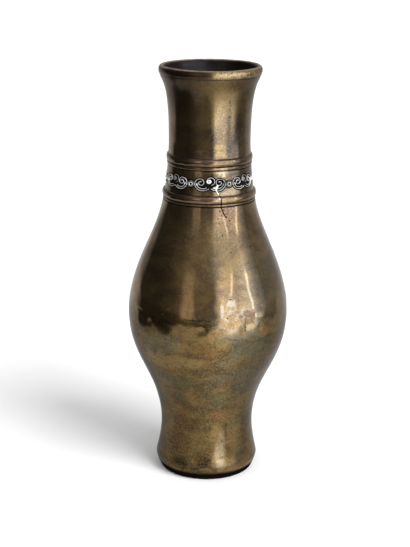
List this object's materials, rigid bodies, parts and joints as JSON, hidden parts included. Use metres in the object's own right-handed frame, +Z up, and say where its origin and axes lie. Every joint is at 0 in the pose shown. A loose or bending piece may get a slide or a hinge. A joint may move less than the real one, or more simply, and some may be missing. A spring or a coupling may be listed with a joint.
{
  "type": "flower vase",
  "caption": "Cast bronze baluster vase with a flared mouth, ringed neck, flared foot and a collar of silver wire scrolls.",
  "frame": {"origin": "middle of the base, on the surface that the vase stands on", "axes": "+Z up the vase's axis towards the mouth, -Y towards the front, with one scroll motif's eye facing -Y"},
  "size_m": [0.0986, 0.0988, 0.255],
  "materials": {
    "bronze": "worn brown-gold patina, satin gloss",
    "dark_bronze": "dark unpolished patina",
    "silver": "worn silver wire"
  },
  "bodies": {
    "root": {"base_plate": "dark_bronze", "body": "bronze", "inlay_collar": "bronze", "neck": "bronze", "scroll_left_1": "silver", "scroll_right_1": "silver", "accent_left_1": "silver", "accent_right_1": "silver", "eye_curl_1": "silver", "spacer_ring_1": "silver", "spacer_core_1": "silver", "scroll_left_2": "silver", "scroll_right_2": "silver", "accent_left_2": "silver", "accent_right_2": "silver", "eye_curl_2": "silver", "spacer_ring_2": "silver", "spacer_core_2": "silver", "scroll_left_3": "silver", "scroll_right_3": "silver", "accent_left_3": "silver", "accent_right_3": "silver", "eye_curl_3": "silver", "spacer_ring_3": "silver", "spacer_core_3": "silver", "scroll_left_4": "silver", "scroll_right_4": "silver", "accent_left_4": "silver", "accent_right_4": "silver", "eye_curl_4": "silver", "spacer_ring_4": "silver", "spacer_core_4": "silver", "scroll_left_5": "silver", "scroll_right_5": "silver", "accent_left_5": "silver", "accent_right_5": "silver", "eye_curl_5": "silver", "spacer_ring_5": "silver", "spacer_core_5": "silver", "scroll_left_6": "silver", "scroll_right_6": "silver", "accent_left_6": "silver", "accent_right_6": "silver", "eye_curl_6": "silver", "spacer_ring_6": "silver", "spacer_core_6": "silver", "scroll_left_7": "silver", "scroll_right_7": "silver", "accent_left_7": "silver", "accent_right_7": "silver", "eye_curl_7": "silver", "spacer_ring_7": "silver", "spacer_core_7": "silver"}
  },
  "joints": []
}
